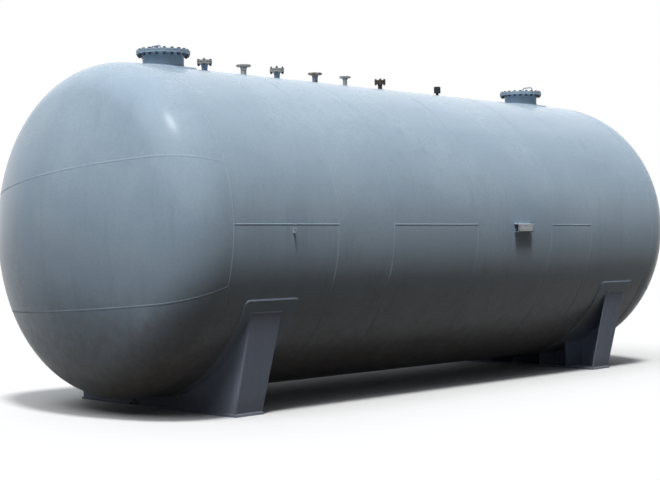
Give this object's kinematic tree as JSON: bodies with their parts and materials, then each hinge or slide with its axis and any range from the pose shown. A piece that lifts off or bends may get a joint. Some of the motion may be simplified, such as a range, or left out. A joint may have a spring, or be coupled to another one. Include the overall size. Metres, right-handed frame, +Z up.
{
  "type": "horizontal pressure tank",
  "caption": "Horizontal welded steel pressure tank with dished heads on plate saddles, with bolted manways and a row of flanged nozzles along its crown.",
  "frame": {"origin": "ground level under the middle of the tank, between the saddles", "axes": "+X along the tank towards its right-hand end in the picture, +Z up, -Y the side that carries the plate bracket"},
  "size_m": [8.645, 3.255, 3.581],
  "materials": {
    "vessel_paint": "satin",
    "saddle_paint": "satin",
    "nozzle_paint": "satin",
    "rusty_steel": "rusted, matt",
    "gasket_rubber": "matt",
    "bracket_paint": "satin"
  },
  "bodies": {
    "root": {"drain_nozzle": "nozzle_paint", "earth_lug": "bracket_paint", "head_left": "vessel_paint", "head_right": "vessel_paint", "manway_left_cover": "vessel_paint", "manway_left_flange": "vessel_paint", "manway_left_gasket": "gasket_rubber", "manway_left_handle": "vessel_paint", "manway_left_neck": "vessel_paint", "manway_left_pad": "vessel_paint", "manway_right_cover": "vessel_paint", "manway_right_flange": "vessel_paint", "manway_right_gasket": "gasket_rubber", "manway_right_handle": "vessel_paint", "manway_right_neck": "vessel_paint", "manway_right_pad": "vessel_paint", "nozzle_1": "nozzle_paint", "nozzle_1_blind": "nozzle_paint", "nozzle_2": "nozzle_paint", "nozzle_3": "nozzle_paint", "nozzle_3_blind": "nozzle_paint", "nozzle_4": "nozzle_paint", "nozzle_5": "nozzle_paint", "nozzle_6": "rusty_steel", "nozzle_6_blind": "rusty_steel", "nozzle_7": "nozzle_paint", "nozzle_7_cap": "nozzle_paint", "plate_bracket": "bracket_paint", "saddle_left_base_plate": "saddle_paint", "saddle_left_end_ribs": "saddle_paint", "saddle_left_inner_ribs": "saddle_paint", "saddle_left_wear_plate": "vessel_paint", "saddle_left_web": "saddle_paint", "saddle_right_base_plate": "saddle_paint", "saddle_right_end_ribs": "saddle_paint", "saddle_right_inner_ribs": "saddle_paint", "saddle_right_wear_plate": "vessel_paint", "saddle_right_web": "saddle_paint", "shell_course_1": "vessel_paint", "shell_course_2": "vessel_paint", "shell_course_3": "vessel_paint", "shell_course_4": "vessel_paint", "shell_course_5": "vessel_paint", "shell_course_6": "vessel_paint"}
  },
  "joints": []
}
